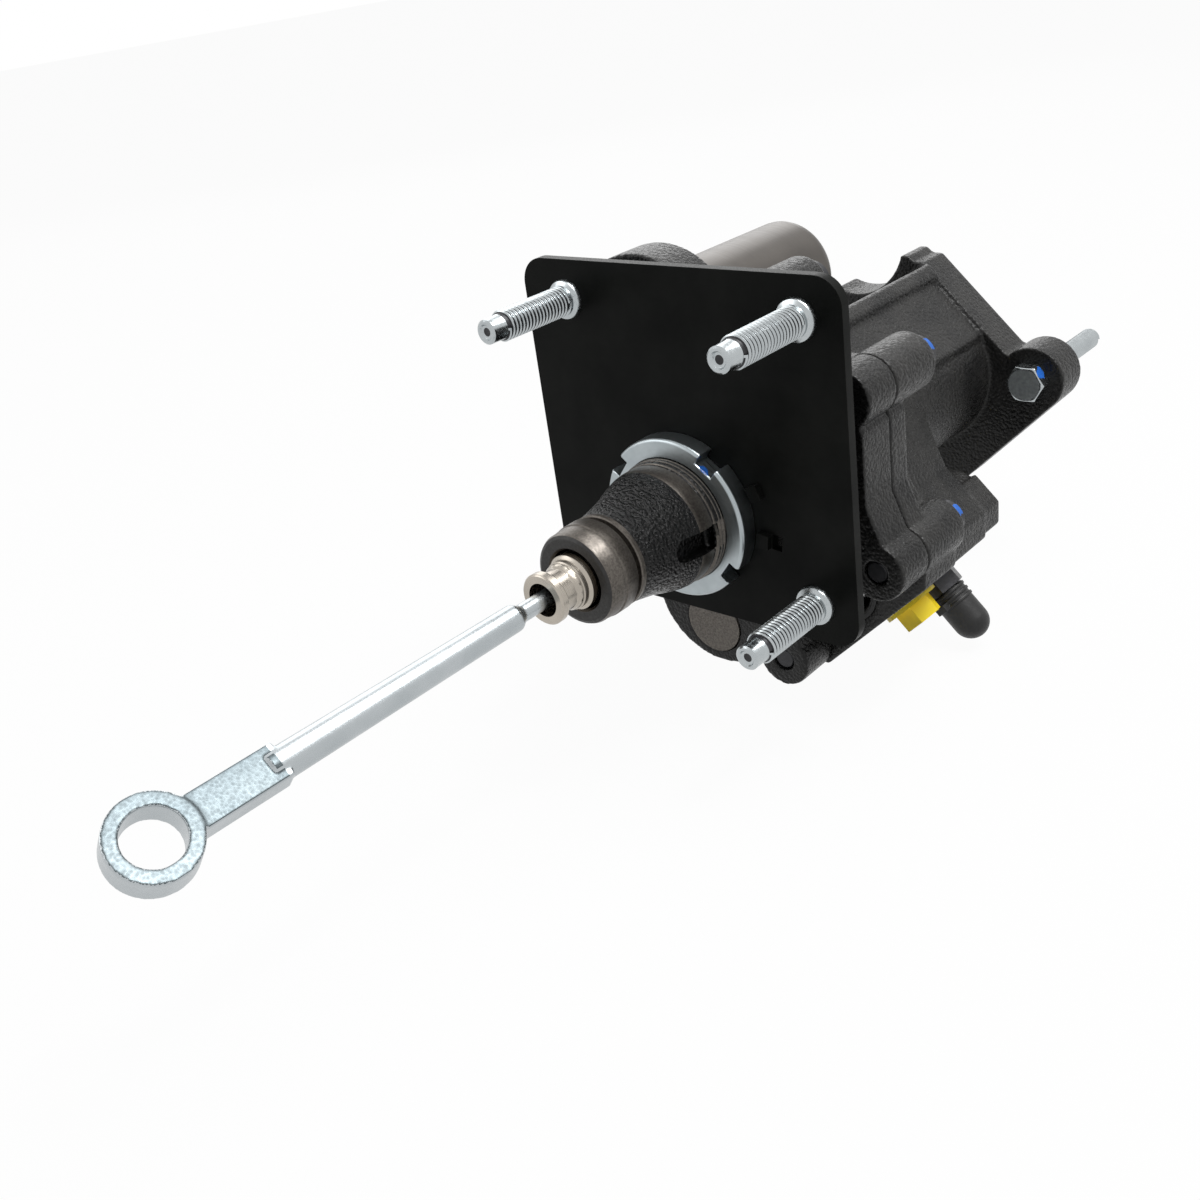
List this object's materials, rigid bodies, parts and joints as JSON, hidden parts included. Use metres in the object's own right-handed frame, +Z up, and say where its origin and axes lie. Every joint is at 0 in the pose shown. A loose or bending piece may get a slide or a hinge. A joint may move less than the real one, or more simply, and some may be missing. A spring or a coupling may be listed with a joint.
{
  "type": "hydraulic brake booster",
  "caption": "Hydraulic brake booster with a square firewall plate and studs, a threaded snout, a long input rod with an eye, a gas accumulator and a flange for the master cylinder.",
  "frame": {"origin": "centre of the four firewall studs, on the cabin face of the mounting plate", "axes": "+Y forward along the booster axis to the master cylinder, +Z up, +X to the right seen from the cabin"},
  "size_m": [0.1284, 0.4187, 0.1564],
  "materials": {
    "black_plate": "satin black coating on pressed steel",
    "black_iron": "semi-gloss black on sand cast iron",
    "bare_iron": "machined and phosphated iron",
    "zinc": "bright zinc plate on steel",
    "nickel": "warm ground and plated steel",
    "ground_steel": "ground steel",
    "spring_steel": "oil dark spring steel",
    "black_bolt": "black phosphated steel",
    "gunmetal": "smooth satin bronze grey drawn steel",
    "aluminium": "turned aluminium",
    "brass": "turned brass",
    "rubber": "matt black rubber",
    "seal_plastic": "ivory nylon",
    "yellow_plastic": "bright yellow moulded plastic"
  },
  "bodies": {
    "booster": {"mounting_plate": "black_plate", "firewall_studs": "zinc", "spanner_nut": "zinc", "booster_cover": "black_iron", "cover_seal": "rubber", "booster_housing": "black_iron", "cover_bolts": "black_bolt", "master_cylinder_bolts": "zinc", "accumulator_can": "gunmetal", "accumulator_ring": "spring_steel", "accumulator_seal": "rubber", "gallery_plug": "bare_iron", "spool_sleeve": "ground_steel", "spool_spring": "spring_steel", "spool_plug": "bare_iron", "spool_plug_seal": "rubber", "spool_snap_ring": "spring_steel", "input_seal": "rubber", "return_spring": "spring_steel", "spring_seat": "ground_steel", "seat_snap_ring": "spring_steel", "port_seats": "brass", "port_seals": "rubber", "port_plugs": "yellow_plastic", "return_fitting": "black_bolt", "return_seal": "rubber", "return_cap": "rubber"},
    "plunger": {"input_plunger": "nickel", "lever_drive_pin": "ground_steel"},
    "bush": {"rod_bush": "seal_plastic"},
    "pedal_rod": {"input_rod": "zinc"},
    "spool": {"spool_valve": "ground_steel", "lever_pivot_pin": "ground_steel"},
    "valve_lever": {"lever": "ground_steel"},
    "piston": {"power_piston": "ground_steel", "piston_seal": "rubber", "output_rod": "zinc", "output_rod_clip": "spring_steel"},
    "gas_piston": {"accumulator_piston": "aluminium", "piston_ring": "seal_plastic"}
  },
  "joints": [
    {"name": "plunger_slide", "type": "slide", "parent": "booster", "child": "plunger", "axis": [0, 1, 0], "range_m": [0, 0.0356], "stiffness_N_per_m": 600},
    {"name": "rod_yaw", "type": "hinge", "parent": "plunger", "child": "bush", "pos_m": [-0.004, -0.05, -0.0227], "axis": [0, 0, 1], "range_deg": [-4.5, 4.5]},
    {"name": "rod_pitch", "type": "hinge", "parent": "bush", "child": "pedal_rod", "pos_m": [-0.004, -0.05, -0.0227], "axis": [1, 0, 0], "range_deg": [-4.5, 4.5]},
    {"name": "spool_slide", "type": "slide", "parent": "booster", "child": "spool", "axis": [0, 1, 0], "range_m": [0, 0.0025], "deforming": ["spool_spring"]},
    {"name": "lever_swing", "type": "hinge", "parent": "spool", "child": "valve_lever", "pos_m": [0.03206, 0.042, -0.05876], "axis": [-0.7071, 0, -0.7071], "range_deg": [0, 36]},
    {"name": "piston_slide", "type": "slide", "parent": "booster", "child": "piston", "axis": [0, 1, 0], "range_m": [0, 0.0356], "deforming": ["return_spring"]},
    {"name": "gas_piston_slide", "type": "slide", "parent": "booster", "child": "gas_piston", "axis": [0, 1, 0], "range_m": [0, 0.04], "stiffness_N_per_m": 300}
  ],
  "couplings": [
    {"joint": "spool_slide", "follows": "plunger_slide", "ratio": 0.070142},
    {"joint": "lever_swing", "follows": "plunger_slide", "rad_per_m": 17.628},
    {"joint": "piston_slide", "follows": "plunger_slide", "ratio": 1}
  ]
}
